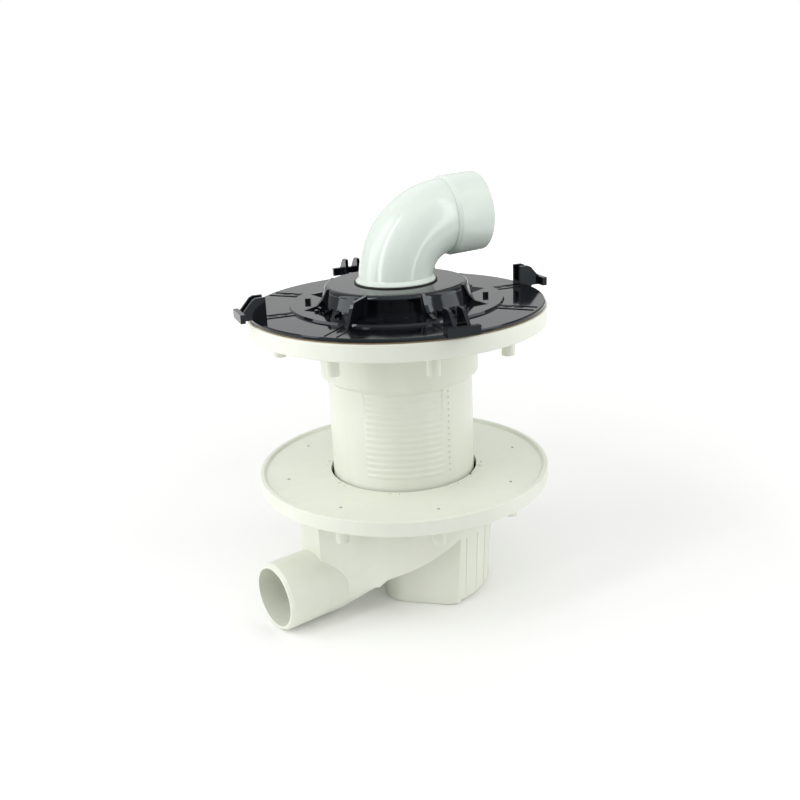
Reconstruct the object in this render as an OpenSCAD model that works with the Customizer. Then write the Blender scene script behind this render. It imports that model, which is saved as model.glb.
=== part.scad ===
// Floor trap for an accessible shower: trap body, cut-to-length riser, site cover and elbow.
// Millimetres, +Z up. The origin is on the riser's axis, at the flat underside of the sump.
// The outlet points along -X.

/* [Heights] */
// Height of the body flange's rim above the floor
body_flange_z = 97; // [92:1:125]
// Rise from the body flange's rim to the riser flange's rim
riser_rise = 121.5; // [100:0.5:150]
// Height of the weir that the water leaves over
weir_z = 60; // [57:0.5:62]
// Depth of the water seal
seal_depth = 50; // [44:1:52]

/* [Walls] */
// Wall of the body, the riser and the insert
wall = 3; // [2.4:0.1:3.6]
// Wall of the cover
cover_t = 2.5; // [2:0.1:3]

/* [Flanges] */
// Outer radius of the body flange
body_flange_r = 109.5; // [92:0.5:132]
// Outer radius of the riser flange
riser_flange_r = 108.5; // [92:0.5:130]
// Height of the body flange's skirt
body_skirt_h = 11; // [8:0.5:14]
// Height of the riser flange's skirt
riser_skirt_h = 12; // [8:0.5:15]
// Depth of the flange's face below its rim
face_drop = 2; // [1:0.5:3]
// Width of the raised rim
rim_w = 3; // [2:0.5:5]
// Distance of the screw circle from the flange's edge
screw_edge = 20.5; // [14:0.5:24]
// Number of screw bosses
screw_count = 8; // [6:1:12]
// Outer radius of a screw boss
boss_r = 4.7; // [3.5:0.1:5.5]
// Length of a screw boss below the rim
boss_len = 28; // [20:1:34]
// Radius of a screw's pilot hole
pilot_r = 1.3; // [1:0.1:2]

/* [Riser] */
// Outer radius of the riser tube
riser_r = 53.6; // [48:0.2:65]
// Step from the riser tube out to the collar under the riser flange
collar_out = 4.7; // [3.4:0.1:8]
// Height of the collar below the riser flange's rim
collar_h = 51; // [40:1:60]
// Height of the collar's sloping step
collar_step = 3.7; // [2:0.1:5]
// Width of the riser flange's rim, which the gasket lies on
riser_rim_w = 11.5; // [8:0.5:14]
// Length of the tube's end inside the body's neck
riser_plug = 15; // [12:0.5:16]
// Spacing of the cut ribs
rib_pitch = 4.6; // [4:0.1:6]
// Height that a cut rib stands proud
rib_h = 0.4; // [0.3:0.05:1]
// Angle that the cut ribs cover
rib_angle = 61; // [40:1:80]
// Direction in which the cut ribs begin, from +X
rib_az = 204; // [0:1:359]
// Width of the small pits beside the cut ribs, one to a rib
pit_w = 1.2; // [0.8:0.1:2]

/* [Neck] */
// Clearance between the riser tube and the body's neck
neck_gap = 2.1; // [1.5:0.1:2.6]
// Depth of the seal's groove in the neck
groove_d = 3.3; // [2.6:0.1:4]
// Height of the seal's groove
groove_h = 6; // [5:0.5:7]
// Number of nubs round the neck
nub_count = 8; // [4:1:12]
// Radius of the nubs round the neck
nub_r = 1.5; // [1:0.1:2]
// Distance of the nubs from the neck's edge
nub_step = 3.2; // [2.6:0.1:4]
// Direction of the keyway in the neck, from +X
key_az = -66; // [-180:1:180]

/* [Outlet] */
// Outer radius of the outlet spigot
outlet_r = 25; // [20:0.5:30]
// Wall of the outlet spigot
outlet_wall = 3.2; // [2.4:0.1:4]
// Distance of the spigot's mouth from the riser's axis
outlet_reach = 122; // [110:1:146]
// Distance of the flat face above the spigot from the riser's axis
outlet_face_x = 88.5; // [84:0.5:100]
// Width of the flat face above the spigot
outlet_face_w = 25; // [16:0.5:34]
// Height of the sloping floor's upper end, beside the sump
floor_z = 55; // [50:0.5:55]
// Distance of the sloping floor's knee from the riser's axis
knee_x = 52; // [46:0.5:56]
// Height of the sloping floor's knee
knee_z = 31; // [28:0.5:36]

/* [Sump] */
// Radius of the sump at its foot
sump_r = 64.2; // [60:0.2:66]
// Rounding of the sump's foot
sump_round = 6; // [3:0.5:9]
// Radius of the two lobes on the outlet side
lobe_r = 18; // [15:0.5:20]
// Distance of the lobes' centres from the riser's axis
lobe_x = 15.5; // [12:0.5:18]
// Spacing of the lobes, centre to centre
lobe_gap = 42; // [38:1:48]
// Distance of the valley between the lobes from the riser's axis
valley_x = 26; // [22:0.5:30]
// Number of grooves in the sump's round wall
groove_count = 17; // [9:2:17]
// Angle from one groove to the next
groove_step = 10.8; // [8:0.2:11]

/* [Insert] */
// Outer radius of the dip tube
dip_r = 23; // [18:0.5:26]
// Distance of the dip tube from the riser's axis
dip_x = 20; // [14:0.5:22]
// Wall of the dip tube
dip_wall = 2.4; // [2:0.1:3]
// Clearance between the insert's ring and its seat
seat_gap = 1.6; // [1.2:0.1:2.4]

/* [Cover] */
// Radius of the dome at its foot
dome_r = 55.5; // [50:0.5:58]
// Rounding of the dome's edge
dome_round = 3.5; // [2:0.1:5]
// Height of the dome above the plate
dome_h = 15; // [12:0.5:22]
// Radius of the ledge round the dome
ledge_r = 77; // [70:0.5:80]
// Height of the ledge above the plate
ledge_h = 1.6; // [1:0.1:3]
// Thickness of the flange gasket
gasket_t = 1; // [0.8:0.1:2]
// Number of radial webs on the dome
web_count = 8; // [8:4:12]
// Radius that the two large webs reach
large_web_r = 83; // [78:0.5:90]
// Angle that a recess in the dome's wall covers
recess_angle = 40; // [24:1:40]
// Depth of a recess
recess_d = 9; // [5:0.5:12]
// Radius of the sill under a recess
sill_r = 64; // [60:0.5:68]
// Reach of the sill's tab
sill_tab = 8; // [4:0.5:9]
// Distance of the ledge's pegs from the axis
peg_r = 64.5; // [61:0.5:70]
// Width of a radial channel on the plate
channel_w = 9; // [7:0.5:12]
// Height of the sleeve round the elbow's seal
sleeve_h = 10; // [8:0.5:12]
// Thickness of a web
web_t = 2.4; // [2:0.1:3]
// Direction of the first web and the first claw, from +X
web_az = -16.5; // [-180:1:180]
// Number of claws on the cover's edge
claw_count = 4; // [2:1:6]
// Width of a claw's bar
claw_w = 23; // [20:0.5:32]
// Spacing of a claw's two cheeks
claw_gap = 9.7; // [8:0.1:16]
// Thickness of a cheek
cheek_t = 2.4; // [2:0.1:3]
// Height of a claw above the plate
claw_h = 15.5; // [12:0.5:20]
// Height of a claw's bar
claw_bar_h = 6.3; // [5:0.1:8]
// Reach of a claw inside the riser flange's edge
claw_in = 10.5; // [8:0.5:14]
// Reach of a claw outside the riser flange's edge
claw_out = 9; // [6:0.5:12]

/* [Elbow] */
// Outer radius of the elbow's spigot
elbow_r = 25; // [20:0.5:27]
// Step from the elbow's spigot out to its bend
bend_out = 1.7; // [1.2:0.1:3]
// Wall of the elbow
elbow_wall = 3.2; // [2.6:0.1:3.6]
// Radius of the bend's centre line
bend_run = 42; // [36:0.5:56]
// Angle of the bend
bend_angle = 87.5; // [67.5:0.5:90]
// Length of the socket
socket_l = 26.5; // [20:0.5:32]
// Clearance in the socket round a pipe as wide as the spigot
socket_gap = 0.1; // [0:0.05:0.6]
// Direction that the elbow's socket faces, from +X
elbow_az = -12; // [-180:1:180]

/* [Hidden] */
$fn = 96;

body_white = "#dfe2d3";
pipe_white = "#e2ebe4";
black = "#1d1f22";
rubber = "#2a2a2a";
buff = "#b49a78";

eps = 0.02;
screw_turn = 180 / screw_count;
skirt_t = wall;

// Neck, from the riser tube outwards
neck_r = riser_r + neck_gap;
groove_r = neck_r + groove_d;
bead_r = groove_r + wall;
bead_room = 2;
groove_drop = 5;
foot_gap = 4;
ledge_t = 8;
chamber_r = bead_r + bead_room + wall;
body_face_z = body_flange_z - face_drop;
plate_z = body_face_z - wall;
groove_z = body_face_z - groove_drop - groove_h;
riser_foot_z = body_face_z - riser_plug;
seat_z = riser_foot_z - foot_gap;
ledge_z = seat_z - ledge_t;
collar_r = riser_r + collar_out;

// Insert
seat_w = 4.5;
rim_gap = 1;
seat_r = riser_r - wall - seat_w;
insert_rim_r = riser_r - wall - rim_gap;
dip_z = weir_z - seal_depth;

// Outlet
outlet_z = outlet_r;
bore_r = outlet_r - outlet_wall;
sump_corner_x = -3.5;
floor_start = [sump_corner_x, floor_z];
floor_knee = [-knee_x, knee_z];

// Riser flange and what lies on it
riser_flange_z = body_flange_z + riser_rise;
gasket_z = riser_flange_z;
cover_z = gasket_z + gasket_t;
cover_inset = 1.4;
gasket_inset = 0.2;
gasket_inner_r = riser_flange_r - riser_rim_w + 1.5;
cover_r = riser_flange_r - cover_inset;
plate_top_z = cover_z + cover_t;
dome_z = plate_top_z + dome_h;
ledge_top_z = plate_top_z + ledge_h;
dome_draft = 3.2;
dome_wall_r = dome_r - dome_draft;

// Elbow, seated on the seal's lip
bend_r = elbow_r + bend_out;
socket_r = elbow_r + socket_gap;
lip_t = 0.8;
lip_r = bend_r + 3.4;
hole_r = elbow_r + 3;
elbow_z = dome_z + lip_t;
foot_r = bend_r + 2.2;

// Where the straight side wall of the chamber touches its round wall
function side_angle() =
    let (p = [-outlet_face_x, -outlet_face_w / 2])
    atan2(p[1], p[0]) + acos(chamber_r / norm(p));
// Half width of the chamber at x, inside a wall of thickness inset
function side_y(x, inset = 0) =
    -((chamber_r - inset) - x * cos(side_angle())) / sin(side_angle());
// Distance from the axis at which the side wall is as wide as the spigot
function face_tangent_x() =
    -(chamber_r + outlet_r * sin(side_angle())) / cos(side_angle());

// Knee of the sloping floor, on the outside or at the inner face of a wall
function inner_knee(inset) = floor_knee + inset * [-0.68, 0.78];

module turned(angle = 360) {
    rotate_extrude(angle = angle) children();
}

module around(count, first = 0) {
    for (i = [0 : count - 1]) rotate([0, 0, first + i * 360 / count]) children();
}

// A ring with a raised rim, a skirt and softened edges
module flange(r, z_top, skirt_h, bore, rim) {
    face = z_top - face_drop;
    turned() difference() {
        offset(r = 0.8) offset(delta = -0.8) polygon([
            [bore - 5, face - wall], [bore - 5, face], [r - rim - face_drop, face], [r - rim, z_top],
            [r, z_top], [r, z_top - skirt_h], [r - skirt_t, z_top - skirt_h],
            [r - skirt_t, face - wall]
        ]);
        translate([bore - 10, face - wall - 1]) square([10, wall + 2]);
    }
}

// Screw bosses under a flange, each on its own radial rib
module bosses(r, z_top, inner_r) {
    screw_r = r - screw_edge;
    around(screw_count, screw_turn) {
        translate([screw_r, 0, z_top - boss_len])
            cylinder(r = boss_r, h = boss_len - face_drop - eps);
        translate([inner_r, -1, z_top - face_drop - wall - 6])
            cube([r - skirt_t / 2 - inner_r, 2, 6 + wall / 2]);
    }
}

module pilot_holes(r, z_top) {
    around(screw_count, screw_turn)
        translate([r - screw_edge, 0, z_top - boss_len + 2]) cylinder(r = pilot_r, h = boss_len);
}

// Plan of the outlet chamber: round, with straight sides to the flat face above the spigot
module chamber_plan(inset) {
    a = side_angle();
    r = chamber_r - inset;
    x = -outlet_face_x + inset;
    circle(r = r);
    polygon([[0, 0], r * [cos(a), sin(a)], [x, -side_y(x, inset)], [x, side_y(x, inset)],
             r * [cos(a), -sin(a)]]);
}

// Side profile of the outlet chamber: what lies above its sloping floor and under its roof
module chamber_side(inset, roof) {
    knee = inner_knee(inset);
    start = floor_start + inset * [0, 1.12];
    polygon([[chamber_r + 1, start[1]], start, knee, [knee[0] - 5, outlet_z],
             [-outlet_face_x - 1, outlet_z], [-outlet_face_x - 1, roof], [chamber_r + 1, roof]]);
}

// The scoop that leads from the sloping floor down into the spigot
module scoop(r, inset) {
    knee = inner_knee(inset);
    y = side_y(knee[0], inset) - eps;
    hull() {
        translate([-face_tangent_x() - 1 - inset * 0.8, 0, outlet_z]) rotate([0, 90, 0])
            cylinder(r = r, h = 2, $fn = 32);
        translate([knee[0], -y, knee[1]]) cube([0.1, 2 * y, 20 - inset]);
    }
}

module chamber(inset, roof) {
    intersection() {
        linear_extrude(height = roof) chamber_plan(inset);
        rotate([90, 0, 0]) translate([0, 0, -chamber_r])
            linear_extrude(height = 2 * chamber_r) chamber_side(inset, roof);
    }
}

// Plan of the sump: round on one side, with two lobes on the outlet side
module sump_plan(inset) {
    lobe = [-lobe_x, -lobe_gap / 2];
    corner = [sump_corner_x, -sqrt(sump_r * sump_r - sump_corner_x * sump_corner_x)];
    to_lobe = lobe - corner;
    dir = atan2(to_lobe[1], to_lobe[0]) + asin(lobe_r / norm(to_lobe));
    side = [cos(dir), sin(dir)];
    touch = lobe + (lobe_r - inset) * [-side[1], side[0]];
    far = touch - sump_r * 1.4 * side;
    intersection() {
        circle(r = chamber_r + 2);
        union() {
            polygon([lobe, touch, far, [sump_r * 2, far[1]], [sump_r * 2, -far[1]],
                     [far[0], -far[1]], [touch[0], -touch[1]], [lobe[0], -lobe[1]]]);
            for (s = [-1, 1]) translate([lobe[0], s * lobe_gap / 2]) circle(r = lobe_r - inset);
            translate([inset - valley_x, -lobe_gap / 2]) square([valley_x, lobe_gap]);
        }
    }
}

// Round wall of the sump, tapered for the mould and rounded at its foot
module sump_turned(inset, top) {
    r = sump_r - inset;
    rise = top - inset;
    turned() translate([0, inset]) {
        polygon([[0, 0], [r - sump_round, 0], [r - sump_round, sump_round / 2],
                 [r, sump_round], [chamber_r - inset, rise], [0, rise]]);
        translate([r - sump_round, sump_round]) circle(r = sump_round);
        square([r - sump_round, sump_round]);
    }
}

module sump(inset, top) {
    intersection() {
        sump_turned(inset, top);
        linear_extrude(height = top) sump_plan(inset);
    }
}

// The wall between sump and outlet, up to the weir
module weir() {
    translate([0, 0, wall / 2]) linear_extrude(height = weir_z - wall / 2) intersection() {
        difference() {
            sump_plan(0);
            sump_plan(wall);
        }
        circle(r = sump_r - 0.5);
    }
}

// Shallow grooves down the sump's round wall
module sump_grooves() {
    lean = atan((chamber_r - sump_r) / floor_z);
    for (i = [0 : groove_count - 1])
        rotate([0, 0, (i - (groove_count - 1) / 2) * groove_step])
            translate([sump_r, 0, -1]) rotate([0, lean, 0])
                translate([-0.6, -0.6, 0]) cube([4, 1.2, floor_z]);
}

// Outlet spigot: parallel where a pipe's socket goes on, then slightly thicker to its root
module spigot() {
    parallel_x = outlet_face_x + 1.5;
    translate([0, 0, outlet_z]) rotate([0, -90, 0]) turned() polygon([
        [0, face_tangent_x() - 1], [outlet_r + 0.3, face_tangent_x() - 1],
        [outlet_r + 0.1, parallel_x], [outlet_r, parallel_x], [outlet_r, outlet_reach - 2.4],
        [outlet_r - 1.6, outlet_reach], [0, outlet_reach]
    ]);
}

// Neck that the riser plugs into, with the seal's bead and the insert's seat
module neck() {
    turned() polygon([
        [seat_r, ledge_z], [neck_r + wall, ledge_z], [neck_r + wall, groove_z - wall - 1],
        [bead_r, groove_z - 1], [bead_r, plate_z + 1], [neck_r, body_face_z], [neck_r, groove_z + groove_h],
        [groove_r, groove_z + groove_h], [groove_r, groove_z], [neck_r, groove_z],
        [neck_r, seat_z], [seat_r, seat_z]
    ]);
}

// Small nubs and pits in pairs on the flange's face, round the neck
module neck_nubs() {
    around(nub_count, -3) translate([neck_r + nub_step, 0, body_face_z - 1])
        cylinder(r = nub_r, h = 1.7, $fn = 24);
}

module neck_pits() {
    around(nub_count, 4) translate([neck_r + nub_step, 0, body_face_z - 1.2])
        cylinder(r = nub_r / 2, h = 2, $fn = 24);
}

// Keyway for the riser in the edge of the neck
module neck_keyway() {
    rotate([0, 0, key_az]) translate([neck_r - 2, -1.5, body_face_z - 4]) cube([3.5, 3, 5]);
}

module trap_body() {
    color(body_white) difference() {
        union() {
            difference() {
                union() {
                    chamber(0, plate_z + wall / 2);
                    sump(0, floor_z + wall);
                    scoop(outlet_r, 0);
                    spigot();
                    flange(body_flange_r, body_flange_z, body_skirt_h, neck_r, rim_w);
                    bosses(body_flange_r, body_flange_z, chamber_r - 1);
                }
                chamber(wall, plate_z);
                translate([0, 0, plate_z - 1]) cylinder(r = neck_r, h = wall);
                sump(wall, floor_z + 2 * wall);
                scoop(bore_r, wall);
                translate([-outlet_reach - 1, 0, outlet_z]) rotate([0, 90, 0])
                    cylinder(r = bore_r, h = outlet_reach - face_tangent_x() + 1);
            }
            weir();
            neck();
            neck_nubs();
        }
        pilot_holes(body_flange_r, body_flange_z);
        sump_grooves();
        neck_pits();
        neck_keyway();
    }
}

// Rows of cut ribs on one side of the riser tube
module cut_ribs(z_low, count) {
    turned(rib_angle) translate([riser_r - 0.3, z_low]) {
        square([0.3 + eps, count * rib_pitch]);
        for (i = [0 : count - 1]) translate([0, i * rib_pitch])
            polygon([[0, 0.5], [0.3, 0.5], [0.3 + rib_h, 1.4], [0.3 + rib_h, rib_pitch - 1.6],
                     [0.3, rib_pitch - 0.7], [0, rib_pitch - 0.7]]);
    }
}

// Small pits in a row beside the cut ribs
module rib_pits(z_low, count) {
    rotate([0, 0, rib_angle + 6]) for (i = [0 : count - 1])
        translate([riser_r - 0.5, -pit_w / 2, z_low + (i + 0.5) * rib_pitch - pit_w / 2])
            cube([1, pit_w, pit_w]);
}

module riser() {
    collar_z = riser_flange_z - collar_h;
    inner_r = riser_r - wall;
    mouth_r = collar_r - wall;
    rib_count = floor((collar_z - body_flange_z - 3) / rib_pitch);
    rib_z = collar_z - rib_count * rib_pitch;
    color(body_white) difference() {
        union() {
            turned() polygon([
                [inner_r, riser_foot_z], [riser_r - 1.2, riser_foot_z], [riser_r, riser_foot_z + 2.5],
                [riser_r, collar_z], [collar_r, collar_z + collar_step],
                [collar_r, riser_flange_z - face_drop - 1], [mouth_r, riser_flange_z - face_drop - 1],
                [mouth_r, collar_z + collar_step + 2], [inner_r, collar_z + 2]
            ]);
            flange(riser_flange_r, riser_flange_z, riser_skirt_h, mouth_r, riser_rim_w);
            bosses(riser_flange_r, riser_flange_z, collar_r - 1);
            for (side = [0, 180]) rotate([0, 0, rib_az + side])
                cut_ribs(rib_z, rib_count);
        }
        pilot_holes(riser_flange_r, riser_flange_z);
        for (side = [0, 180]) rotate([0, 0, rib_az + side]) rib_pits(rib_z, rib_count);
    }
}

// Lip ring between the neck and the riser tube
module riser_seal() {
    z = groove_z + 0.2;
    h = groove_h - 0.4;
    color(rubber) turned() polygon([
        [groove_r - 0.05, z], [groove_r - 0.05, z + h], [neck_r + 0.4, z + h], [riser_r + 0.05, z + h - 2.4],
        [riser_r + 0.05, z + h - 3.2], [neck_r + 0.6, z + h - 1.9], [neck_r + 0.6, z + 1.9],
        [riser_r + 0.05, z + 0.8], [riser_r + 0.05, z], [neck_r + 0.4, z]
    ]);
}

// Removable insert: a dish that drops into the neck, and its dip tube into the sump
module trap_insert() {
    ring_r = seat_r - seat_gap;
    dish_z = ledge_z + 2;
    grip_x = -26;
    grip_w = 16;
    grip_h = 14.4;
    grip_t = 2.4;
    color(body_white) difference() {
        union() {
            turned() polygon([
                [0, dish_z], [ring_r, dish_z], [ring_r, dish_z + 1.6], [ring_r - 1.2, dish_z + 1.6],
                [ring_r - 1.2, dish_z + 4.4], [ring_r, dish_z + 4.4], [ring_r, seat_z],
                [insert_rim_r, seat_z], [insert_rim_r, seat_z + 2], [ring_r - wall, seat_z + 2],
                [ring_r - wall - 1, dish_z + wall], [0, dish_z + wall]
            ]);
            translate([dip_x, 0, dip_z]) cylinder(r = dip_r, h = dish_z - dip_z + 1);
            for (s = [-1, 1]) translate([grip_x, s * grip_w / 2 - grip_t / 2, dish_z + 1])
                cube([grip_t, grip_t, grip_h]);
            translate([grip_x, -(grip_w + grip_t) / 2, dish_z + grip_h - grip_t])
                cube([grip_t, grip_w + grip_t, grip_t + 1]);
        }
        translate([dip_x, 0, dip_z - 1]) cylinder(r = dip_r - dip_wall, h = dish_z - dip_z + 20);
    }
}

module insert_seal() {
    ring_r = seat_r - seat_gap;
    r = (seat_gap + 1.2) / 2 - 0.04;
    color(rubber) turned() translate([seat_r - r - 0.04, ledge_z + 5]) circle(r = r, $fn = 24);
}

module cover_gasket() {
    color(buff) difference() {
        translate([0, 0, gasket_z]) cylinder(r = cover_r - gasket_inset, h = gasket_t);
        translate([0, 0, gasket_z - 1]) cylinder(r = gasket_inner_r, h = gasket_t + 2);
    }
}

// Outside of the plate, the ledge and the dome
module cover_outside() {
    turned() {
        polygon([
            [0, cover_z], [cover_r, cover_z], [cover_r, plate_top_z - 0.8], [cover_r - 0.8, plate_top_z],
            [ledge_r + 0.8, plate_top_z], [ledge_r, ledge_top_z], [dome_r + 0.4, ledge_top_z],
            [dome_r, ledge_top_z + 0.8], [dome_wall_r, dome_z - dome_round],
            [dome_wall_r - dome_round, dome_z], [0, dome_z]
        ]);
        translate([dome_wall_r - dome_round, dome_z - dome_round]) circle(r = dome_round);
    }
}

// Hollow under the ledge and the dome
module cover_inside() {
    t = cover_t;
    turned() polygon([
        [0, cover_z - 1], [ledge_r - 2, cover_z - 1], [ledge_r - 2, cover_z + ledge_h],
        [dome_r - t, cover_z + ledge_h], [dome_wall_r - t, dome_z - dome_round],
        [dome_wall_r - dome_round, dome_z - t], [0, dome_z - t]
    ]);
}

// A small web, which flares from the dome's edge down to the ledge
module small_web() {
    rotate([90, 0, 0]) translate([0, 0, -web_t / 2]) linear_extrude(height = web_t) polygon([
        [dome_r - 7, dome_z - 0.2], [dome_wall_r, dome_z - 0.4], [dome_r + 0.5, dome_z - 7],
        [dome_r + 4.5, dome_z - 11], [ledge_r - 8, ledge_top_z + 0.3], [ledge_r - 4, ledge_top_z - 0.6],
        [dome_r - 7, ledge_top_z - 0.6]
    ]);
}

// A large web: level with the dome's top, with a softened outer corner
module large_web() {
    corner_r = large_web_r - 10;
    rotate([90, 0, 0]) translate([0, 0, -web_t / 2]) linear_extrude(height = web_t) polygon([
        [dome_r - 7, dome_z - 0.2], [corner_r - 4, dome_z - 0.6], [corner_r - 1.2, dome_z - 1.6],
        [corner_r, dome_z - 4], [large_web_r - 3, plate_top_z + 1.4], [large_web_r, plate_top_z - 0.6],
        [dome_r - 7, plate_top_z - 0.6]
    ]);
}

// A recess in the dome's wall, or with a wall's thickness the pocket that holds it
module recess(grow) {
    low = ledge_top_z + 1.2;
    high = dome_z - 2.6;
    outer = dome_r + 2;
    r = dome_r - recess_d - grow;
    half = recess_angle / 2 + grow * 1.1;
    rotate([0, 0, -half]) turned(2 * half) polygon([
        [r, low - grow], [outer - grow * 1.2, low - grow], [outer - grow * 2.7, high + grow / 3],
        [r, high + grow / 3]
    ]);
}

// The sill under a recess: a step with a tab, and a small post on the tab
module sill() {
    half = recess_angle / 2;
    rotate([0, 0, -half]) turned(2 * half)
        translate([dome_r - 5, ledge_top_z - 0.5]) square([sill_r - dome_r + 5, 1.7]);
    rotate([0, 0, -half / 3]) turned(2 * half / 3)
        translate([sill_r - 1, ledge_top_z - 0.5]) square([sill_tab + 1, 1.6]);
    rotate([0, 0, -half / 4]) translate([sill_r + sill_tab - 3, -0.9, ledge_top_z - 0.5])
        cube([5, 1.8, 3.2]);
}

// Catches at the dome's foot
module catches() {
    first = -14;
    step = 9.5;
    for (i = [0 : 2]) rotate([0, 0, first + i * step]) {
        translate([dome_r + 3.5, -2.2, ledge_top_z - 0.5]) cube([3, 4.4, 3.2]);
        translate([dome_r + 7.5, -1.4, ledge_top_z - 0.5]) cube([2.2, 2.8, 1.9]);
    }
}

// A peg on the ledge
module peg() {
    translate([peg_r - 2, -2.2, ledge_top_z - 0.5]) cube([4, 4.4, 3.5]);
}

// Raised lines on both sides of a radial channel on the plate
module channel() {
    line = 0.9;
    inner = ledge_r + 0.4;
    for (s = [-1, 1]) {
        translate([inner, s * channel_w / 2 - line / 2, plate_top_z - 0.4])
            cube([cover_r - 3 - inner, line, 0.9]);
        translate([inner + 2, s * (channel_w / 2 - 2) - line / 2, plate_top_z - 0.4])
            cube([7, line, 0.8]);
    }
}

// A shallow slot and a dimple in a channel, where a guide strip's peg goes
module channel_slot() {
    translate([ledge_r + 11.5, -0.9, plate_top_z - 1]) cube([7, 1.8, 2]);
    translate([ledge_r + 6, 0, plate_top_z - 1]) cylinder(r = 1, h = 2, $fn = 24);
}

// A claw at the plate's edge: two cheeks, a low cross wall and the bar that stands out over the rim
module claw() {
    inner = riser_flange_r - claw_in;
    outer = riser_flange_r + claw_out;
    bar = 3.5;
    top = plate_top_z + claw_h;
    bar_top = plate_top_z + claw_bar_h;
    for (s = [-1, 1])
        translate([0, s * claw_gap / 2, 0]) rotate([90, 0, 0]) translate([0, 0, -cheek_t / 2])
            linear_extrude(height = cheek_t) polygon([
                [inner, cover_z + 1], [inner, top], [inner + 6.5, top], [inner + 9, top - 1.2],
                [outer - bar, bar_top], [outer - 1, bar_top], [outer - 1, plate_top_z + 0.5],
                [cover_r + 1, plate_top_z + 0.5], [cover_r - 0.5, plate_top_z - 1],
                [cover_r - 0.5, cover_z + 1]
            ]);
    translate([inner, -claw_gap / 2, cover_z + 1]) cube([cheek_t, claw_gap, bar_top - cover_z - 3]);
    translate([outer - bar, -claw_w / 2, plate_top_z + 0.2])
        cube([bar, claw_w, claw_bar_h - 0.2]);
}

// The sleeve that the elbow's seal sits in
module cover_sleeve() {
    translate([0, 0, dome_z - sleeve_h]) cylinder(r = hole_r + cover_t, h = sleeve_h - 1);
}

module cover() {
    step = 360 / web_count;
    color(black) difference() {
        union() {
            difference() {
                union() {
                    cover_outside();
                    around(web_count, web_az) small_web();
                    around(web_count, web_az) channel();
                }
                cover_inside();
            }
            around(2, web_az + step) large_web();
            around(2, web_az + step * 1.5) {
                recess(cover_t);
                sill();
            }
            around(2, web_az + step * 0.5) catches();
            around(2, web_az + step * 2.5) catches();
            around(2, web_az + step * 3.5) peg();
            around(claw_count, web_az) claw();
            cover_sleeve();
        }
        around(2, web_az + step * 1.5) recess(0);
        around(web_count, web_az) channel_slot();
        translate([0, 0, cover_z - 1]) cylinder(r = hole_r, h = dome_h + cover_t + 2);
    }
}

module elbow_seal() {
    color(rubber) turned() polygon([
        [elbow_r + 0.05, dome_z - sleeve_h + 2], [hole_r - 0.05, dome_z - sleeve_h + 2],
        [hole_r - 0.05, dome_z],
        [lip_r, dome_z], [lip_r, elbow_z], [elbow_r + 0.05, elbow_z]
    ]);
}

// Everything along the elbow's socket, from the end of the bend
module at_socket() {
    translate([bend_run, 0, elbow_z]) rotate([0, bend_angle - 90, 0]) translate([0, 0, bend_run])
        rotate([0, 90, 0]) children();
}

// Solid bend of the given radius, from the foot to the socket
module bend(r) {
    translate([bend_run, 0, elbow_z]) rotate([90, 0, 180])
        turned(bend_angle) translate([bend_run, 0]) circle(r = r);
}

module elbow() {
    spigot_l = 30;
    step = 1.5;
    shell_r = socket_r + elbow_wall + 0.4;
    color(pipe_white) rotate([0, 0, elbow_az]) difference() {
        union() {
            translate([0, 0, elbow_z - spigot_l]) cylinder(r = elbow_r, h = spigot_l + 1);
            translate([0, 0, elbow_z]) turned() polygon([
                [0, 0], [foot_r, 0], [foot_r, 0.6], [bend_r + 0.4, 2.6], [bend_r - 0.5, 4], [0, 4]
            ]);
            bend(bend_r);
            at_socket() turned() polygon([
                [0, -step], [bend_r + 0.8, -step], [shell_r, step], [shell_r, socket_l], [0, socket_l]
            ]);
        }
        translate([0, 0, elbow_z - spigot_l - 1]) cylinder(r = elbow_r - elbow_wall, h = spigot_l + 3);
        bend(bend_r - elbow_wall);
        at_socket() translate([0, 0, -step / 2]) cylinder(r = socket_r, h = socket_l + step);
    }
}

trap_body();
riser();
riser_seal();
trap_insert();
insert_seal();
cover_gasket();
cover();
elbow_seal();
elbow();
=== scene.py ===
"""Accessible shower trap: the finish of every surface, the light and the camera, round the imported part."""
import math

import bpy
from mathutils import Matrix, Vector

# One millimetre, in metres
MM = 0.001

# The camera: where it stands in mm, which way its right and its top point, its lens and sensor in mm and
# how far it sees in metres
CAMERA_PLACE = (-418.6, -554.2, 377.9)
CAMERA_RIGHT = (0.78932, -0.61252, -0.04236)
CAMERA_UP = (0.22614, 0.22588, 0.94754)
CAMERA_LENS = 43.81
CAMERA_SENSOR = 36
CAMERA_REACH = 20

# The table: the way to the camera in degrees from +X, how far it reaches on that side, half its size and
# how far its top lies under the feet of the part
FRONT_AZ = 233
TABLE_EDGE = 0.3
TABLE_HALF = 6
TABLE_DROP = 0.0005
# It glows a little near the part, and enough to be pure white further away: distance and glow of both
TABLE_NEAR = (0.3, 0.02)
TABLE_FAR = (1.3, 0.5)

# Panels of the light tent: direction from +X, elevation, tightness and glow of each
TENT_PANELS = ((53, 0, 2, 0.33), (53, 45, 4, 0.94), (142, 0, 2, 0.49), (190, 50, 4, 0.22),
               (233, 60, 4, 0.48), (276, 50, 4, 0.57), (233, -40, 2, 0.45), (300, -35, 2, 0.6))

# Softboxes: name, direction from +X, distance, width and power of each. All have the same height and middle
SOFTBOXES = (("left_softbox", 150, 0.9, 0.5, 4.3), ("right_softbox", 321, 0.9, 0.5, 3.3),
             ("left_strip", 183, 0.65, 0.12, 2.5), ("right_strip", 283, 0.65, 0.09, 1.2))
SOFTBOX_HEIGHT = 1.3
SOFTBOX_MIDDLE = 0.75

# A noise pattern hardly leaves this range, so the range is what gets stretched
NOISE_RANGE = {"From Min": 0.3, "From Max": 0.7}
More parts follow.
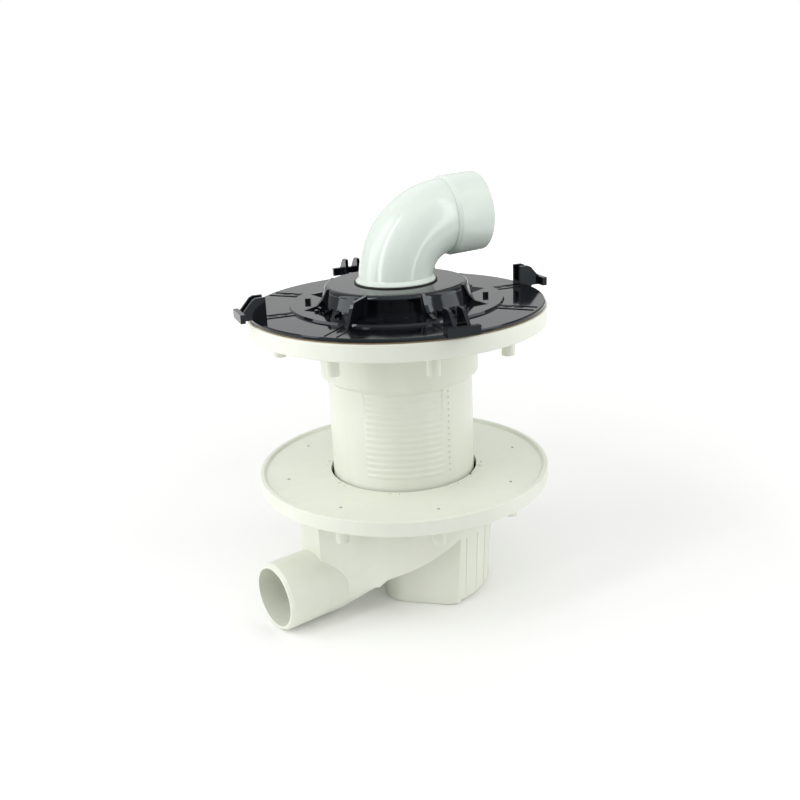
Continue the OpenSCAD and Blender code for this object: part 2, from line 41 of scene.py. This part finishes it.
# The places of the two colours among the inputs of a Mix node
FIRST_COLOUR, SECOND_COLOUR = 6, 7
# Plastics and rubber bend light alike
PLASTIC_IOR = 1.52

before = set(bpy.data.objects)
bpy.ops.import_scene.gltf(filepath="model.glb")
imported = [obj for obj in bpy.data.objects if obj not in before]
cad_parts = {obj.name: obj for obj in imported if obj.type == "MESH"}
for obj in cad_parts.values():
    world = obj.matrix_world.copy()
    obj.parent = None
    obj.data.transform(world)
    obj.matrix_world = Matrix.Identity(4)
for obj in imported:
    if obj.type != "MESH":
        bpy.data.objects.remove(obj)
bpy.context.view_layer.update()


def linear(hex_colour):
    """Turns an sRGB hex colour into Blender's linear values."""
    parts = [int(hex_colour[i:i + 2], 16) / 255 for i in (1, 3, 5)]
    return tuple(c / 12.92 if c <= 0.04045 else ((c + 0.055) / 1.055) ** 2.4 for c in parts) + (1.0,)


def add(tree, kind, inputs=None, **settings):
    """Adds one node with its settings. Each input holds a value, or is linked to a socket or to the first
    output in use of another node."""
    node = tree.nodes.new(kind)
    for name, value in settings.items():
        setattr(node, name, value)
    for name, value in (inputs or {}).items():
        if isinstance(value, bpy.types.Node):
            value = next(output for output in value.outputs if output.enabled)
        if isinstance(value, bpy.types.NodeSocket):
            tree.links.new(value, node.inputs[name])
        else:
            node.inputs[name].default_value = value
    return node


def new_material(name):
    """A material with an empty tree, and its tree."""
    material = bpy.data.materials.new(name)
    material.use_nodes = True
    material.node_tree.nodes.clear()
    return material, material.node_tree


def place_camera():
    """The camera stands where the photograph was taken from."""
    right = Vector(CAMERA_RIGHT)
    up = Vector(CAMERA_UP)
    back = right.cross(up)
    data = bpy.data.cameras.new("camera")
    data.sensor_width = CAMERA_SENSOR
    data.lens = CAMERA_LENS
    data.clip_end = CAMERA_REACH
    camera = bpy.data.objects.new("camera", data)
    bpy.context.collection.objects.link(camera)
    turn = Matrix((right, up, back)).transposed().to_4x4()
    camera.matrix_world = Matrix.Translation(Vector(CAMERA_PLACE) * MM) @ turn
    bpy.context.scene.camera = camera


def glow_of_panel(tree, way, azimuth, elevation, tightness, glow):
    """Light of one tent panel, which fades with the angle away from its middle."""
    turn, tilt = math.radians(azimuth), math.radians(elevation)
    middle = (math.cos(turn) * math.cos(tilt), math.sin(turn) * math.cos(tilt), math.sin(tilt))
    facing = add(tree, "ShaderNodeVectorMath", {0: way, 1: middle}, operation="DOT_PRODUCT")
    ahead = add(tree, "ShaderNodeMath", {0: facing, 1: 0.0}, operation="MAXIMUM")
    faded = add(tree, "ShaderNodeMath", {0: ahead, 1: tightness}, operation="POWER")
    return add(tree, "ShaderNodeMath", {0: faded, 1: glow}, operation="MULTIPLY")


def make_world():
    """A light tent of softly glowing panels, plain white where the camera looks straight at it."""
    world = bpy.data.worlds.new("studio")
    bpy.context.scene.world = world
    world.use_nodes = True
    tree = world.node_tree
    tree.nodes.clear()
    way = add(tree, "ShaderNodeTexCoord").outputs["Generated"]
    tent = 0.0
    for panel in TENT_PANELS:
        glow = glow_of_panel(tree, way, *panel)
        tent = add(tree, "ShaderNodeMath", {0: tent, 1: glow}, operation="ADD")
    seen = add(tree, "ShaderNodeLightPath").outputs["Is Camera Ray"]
    strength = add(tree, "ShaderNodeMix", {"Factor": seen, "A": tent, "B": 1.0})
    sky = add(tree, "ShaderNodeBackground", {"Color": linear("#ffffff"), "Strength": strength})
    add(tree, "ShaderNodeOutputWorld", {"Surface": sky})


def make_table():
    """A plain pale table, which turns to pure white away from the part. It ends in front of the part, out of
    the camera's sight, so that it throws no light up at the rims that face the camera."""
    turn = math.radians(FRONT_AZ)
    middle = TABLE_EDGE - TABLE_HALF
    place = (middle * math.cos(turn), middle * math.sin(turn), -TABLE_DROP)
    bpy.ops.object.select_all(action="DESELECT")
    bpy.ops.mesh.primitive_plane_add(size=2 * TABLE_HALF, rotation=(0, 0, turn), location=place)
    bpy.ops.object.transform_apply(location=True, rotation=True, scale=True)
    floor = bpy.context.object
    floor.name = "floor"
    material, tree = new_material("pale_studio_sweep")
    spot = add(tree, "ShaderNodeTexCoord").outputs["Object"]
    away = add(tree, "ShaderNodeVectorMath", {0: spot}, operation="LENGTH")
    glow = add(tree, "ShaderNodeMapRange", {
        "Value": away, "From Min": TABLE_NEAR[0], "From Max": TABLE_FAR[0],
        "To Min": TABLE_NEAR[1], "To Max": TABLE_FAR[1]})
    shader = add(tree, "ShaderNodeBsdfPrincipled", {
        "Base Color": linear("#fbfbfa"), "Roughness": 0.75, "Emission Color": linear("#ffffff"),
        "Emission Strength": glow})
    add(tree, "ShaderNodeOutputMaterial", {"Surface": shader})
    floor.data.materials.append(material)


def place_softboxes():
    """Softboxes at both sides, and two narrow upright strips beside the camera, which leave the two long
    highlights on the elbow."""
    for name, azimuth, distance, width, power in SOFTBOXES:
        turn = math.radians(azimuth)
        place = Vector((distance * math.cos(turn), distance * math.sin(turn), SOFTBOX_MIDDLE))
        target = Vector((0, 0, SOFTBOX_MIDDLE))
        data = bpy.data.lights.new(name, "AREA")
        data.shape = "RECTANGLE"
        data.size = width
        data.size_y = SOFTBOX_HEIGHT
        data.energy = power
        light = bpy.data.objects.new(name, data)
        bpy.context.collection.objects.link(light)
        light.location = place
        light.rotation_euler = (target - place).to_track_quat("-Z", "Y").to_euler()


def in_mm(tree):
    """Object coordinates in millimetres, so a pattern's scale of 1 / n has features about n mm wide."""
    place = add(tree, "ShaderNodeTexCoord").outputs["Object"]
    return add(tree, "ShaderNodeVectorMath", {0: place, "Scale": 1 / MM}, operation="SCALE")


def flow_marks(tree, place, stretch):
    """Faint streaks along the way that the melt ran, as long and as wide in mm as the stretch says."""
    along = add(tree, "ShaderNodeVectorMath", {0: place, 1: stretch}, operation="DIVIDE")
    return add(tree, "ShaderNodeTexNoise", {"Vector": along, "Scale": 1.0, "Detail": 3.0})


def finish_material(tree, colour, roughness, normal, coat=0.0, highlight="#ffffff"):
    """The shader that shows a material."""
    shader = add(tree, "ShaderNodeBsdfPrincipled", {
        "Base Color": colour, "Roughness": roughness, "Normal": normal, "IOR": PLASTIC_IOR,
        "Specular Tint": linear(highlight), "Coat Weight": coat, "Coat Roughness": 0.05})
    add(tree, "ShaderNodeOutputMaterial", {"Surface": shader})


def moulded_white_abs():
    """Satin cream-white ABS from a spark-eroded mould. The eye sees a fine even grain close by, faint
    upright flow streaks, a soft cloud in the colour, and walls that swell a little between the ribs."""
    material, tree = new_material("moulded_white_abs")
    place = in_mm(tree)
    cloud = add(tree, "ShaderNodeTexNoise", {"Vector": place, "Scale": 1 / 70, "Detail": 3.0})
    clouded = add(tree, "ShaderNodeMapRange", {"Value": cloud, **NOISE_RANGE, "To Min": 0, "To Max": 1})
    streaks = flow_marks(tree, place, (9, 9, 90))
    streaked = add(tree, "ShaderNodeMapRange", {"Value": streaks, **NOISE_RANGE, "To Min": 0, "To Max": 0.35})
    cream = add(tree, "ShaderNodeMix", {
        "Factor": clouded, FIRST_COLOUR: linear("#e1e4d8"), SECOND_COLOUR: linear("#e7eadf")},
        data_type="RGBA")
    colour = add(tree, "ShaderNodeMix", {
        "Factor": streaked, FIRST_COLOUR: cream, SECOND_COLOUR: linear("#dce0cf")}, data_type="RGBA")
    # The roughness starts at 0.285, because small marks showed in the render when it started at 0.27
    patches = add(tree, "ShaderNodeTexNoise", {"Vector": place, "Scale": 1 / 16, "Detail": 4.0})
    gloss = add(tree, "ShaderNodeMapRange", {
        "Value": patches, **NOISE_RANGE, "To Min": 0.285, "To Max": 0.36})
    waves = add(tree, "ShaderNodeTexNoise", {"Vector": place, "Scale": 1 / 24, "Detail": 1.0})
    swell = add(tree, "ShaderNodeBump", {"Height": waves, "Distance": 0.05 * MM})
    streaky = add(tree, "ShaderNodeBump", {"Height": streaks, "Distance": 0.012 * MM, "Normal": swell})
    # The real grain is about 0.1 mm wide, too fine to show from here, so it is drawn 1.1 mm wide
    sparks = add(tree, "ShaderNodeTexNoise", {"Vector": place, "Scale": 1 / 1.1, "Detail": 2.0})
    grain = add(tree, "ShaderNodeBump", {"Height": sparks, "Distance": 0.004 * MM, "Normal": streaky})
    finish_material(tree, colour, gloss, grain)
    return material


def moulded_white_pvc():
    """Glossy mint-white PVC from a polished mould. The eye sees long clean highlights that waver a little,
    faint flow lines round the bend, and a few dull patches where it was handled."""
    material, tree = new_material("moulded_white_pvc")
    place = in_mm(tree)
    streaks = flow_marks(tree, place, (45, 6, 45))
    streaked = add(tree, "ShaderNodeMapRange", {"Value": streaks, **NOISE_RANGE, "To Min": 0, "To Max": 1})
    colour = add(tree, "ShaderNodeMix", {
        "Factor": streaked, FIRST_COLOUR: linear("#dbe6dd"), SECOND_COLOUR: linear("#e2ece3")},
        data_type="RGBA")
    patches = add(tree, "ShaderNodeTexNoise", {"Vector": place, "Scale": 1 / 13, "Detail": 4.0})
    gloss = add(tree, "ShaderNodeMapRange", {
        "Value": patches, **NOISE_RANGE, "To Min": 0.15, "To Max": 0.22})
    waves = add(tree, "ShaderNodeTexNoise", {"Vector": place, "Scale": 1 / 20, "Detail": 1.0})
    swell = add(tree, "ShaderNodeBump", {"Height": waves, "Distance": 0.035 * MM})
    fine = add(tree, "ShaderNodeBump", {"Height": streaks, "Distance": 0.006 * MM, "Normal": swell})
    finish_material(tree, colour, gloss, fine, coat=0.2)
    return material


def moulded_black_abs():
    """Glossy black ABS from a polished mould. The eye sees near-mirror faces that ripple over their ribs
    and sink marks, with hairline scratches and a thin haze of handling on the gloss."""
    material, tree = new_material("moulded_black_abs")
    place = in_mm(tree)
    haze = add(tree, "ShaderNodeTexNoise", {"Vector": place, "Scale": 1 / 30, "Detail": 5.0})
    colour = add(tree, "ShaderNodeMix", {
        "Factor": haze, FIRST_COLOUR: linear("#0b0d10"), SECOND_COLOUR: linear("#101317")},
        data_type="RGBA")
    hazed = add(tree, "ShaderNodeMapRange", {"Value": haze, **NOISE_RANGE, "To Min": 0.05, "To Max": 0.12})
    # Real hairlines are finer than 0.1 mm and would not show, so these are drawn 0.25 mm wide
    hairs = flow_marks(tree, place, (0.25, 14, 14))
    scratches = add(tree, "ShaderNodeMapRange", {
        "Value": hairs, "From Min": 0.62, "From Max": 0.75, "To Min": 0, "To Max": 0.05})
    gloss = add(tree, "ShaderNodeMath", {0: hazed, 1: scratches}, operation="ADD")
    waves = add(tree, "ShaderNodeTexNoise", {"Vector": place, "Scale": 1 / 18, "Detail": 1.0})
    swell = add(tree, "ShaderNodeBump", {"Height": waves, "Distance": 0.03 * MM})
    finish_material(tree, colour, gloss, swell, highlight="#f0fbff")
    return material


def moulded_black_epdm():
    """Matt black EPDM rubber. The eye sees a soft dull surface with a faint grey bloom and a fine grain."""
    material, tree = new_material("moulded_black_epdm")
    place = in_mm(tree)
    bloom = add(tree, "ShaderNodeTexNoise", {"Vector": place, "Scale": 1 / 9, "Detail": 4.0})
    bloomed = add(tree, "ShaderNodeMapRange", {"Value": bloom, **NOISE_RANGE, "To Min": 0, "To Max": 1})
    colour = add(tree, "ShaderNodeMix", {
        "Factor": bloomed, FIRST_COLOUR: linear("#171717"), SECOND_COLOUR: linear("#242423")},
        data_type="RGBA")
    patches = add(tree, "ShaderNodeTexNoise", {"Vector": place, "Scale": 1 / 4, "Detail": 3.0})
    gloss = add(tree, "ShaderNodeMapRange", {"Value": patches, **NOISE_RANGE, "To Min": 0.5, "To Max": 0.7})
    grit = add(tree, "ShaderNodeTexNoise", {"Vector": place, "Scale": 1 / 0.3, "Detail": 2.0})
    grain = add(tree, "ShaderNodeBump", {"Height": grit, "Distance": 0.015 * MM})
    finish_material(tree, colour, gloss, grain)
    return material


def die_cut_buff_foam():
    """Buff closed-cell foam, cut with a die. The eye sees dull open cells half a millimetre wide. The middle
    of each cell is darkened with painted shade.
    """
    material, tree = new_material("die_cut_buff_foam")
    place = in_mm(tree)
    cells = add(tree, "ShaderNodeTexVoronoi", {"Vector": place, "Scale": 1 / 0.5})
    cloud = add(tree, "ShaderNodeTexNoise", {"Vector": place, "Scale": 1 / 6, "Detail": 3.0})
    clouded = add(tree, "ShaderNodeMapRange", {"Value": cloud, **NOISE_RANGE, "To Min": 0, "To Max": 1})
    buff = add(tree, "ShaderNodeMix", {
        "Factor": clouded, FIRST_COLOUR: linear("#75644b"), SECOND_COLOUR: linear("#877557")},
        data_type="RGBA")
    # Painted shade: the colour darkens towards the middle of each cell, where the bump sinks it into a pit
    painted_pit_shade = add(tree, "ShaderNodeMapRange", {
        "Value": cells, "From Min": 0.0, "From Max": 0.4, "To Min": 0.3, "To Max": 0})
    colour = add(tree, "ShaderNodeMix", {
        "Factor": painted_pit_shade, FIRST_COLOUR: buff, SECOND_COLOUR: linear("#584935")}, data_type="RGBA")
    pitted = add(tree, "ShaderNodeBump", {"Height": cells, "Distance": 0.12 * MM})
    finish_material(tree, colour, 0.85, pitted)
    return material


def dress(material, *nodes):
    """Gives CAD nodes their material."""
    for node in nodes:
        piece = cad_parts[node]
        piece.data.materials.clear()
        piece.data.materials.append(material)


dress(moulded_white_abs(), "trap_body", "riser", "trap_insert")
dress(moulded_white_pvc(), "elbow")
dress(moulded_black_abs(), "cover")
dress(moulded_black_epdm(), "riser_seal", "insert_seal", "elbow_seal")
dress(die_cut_buff_foam(), "cover_gasket")

make_world()
make_table()
place_camera()
place_softboxes()
bpy.context.scene.view_settings.view_transform = "Standard"
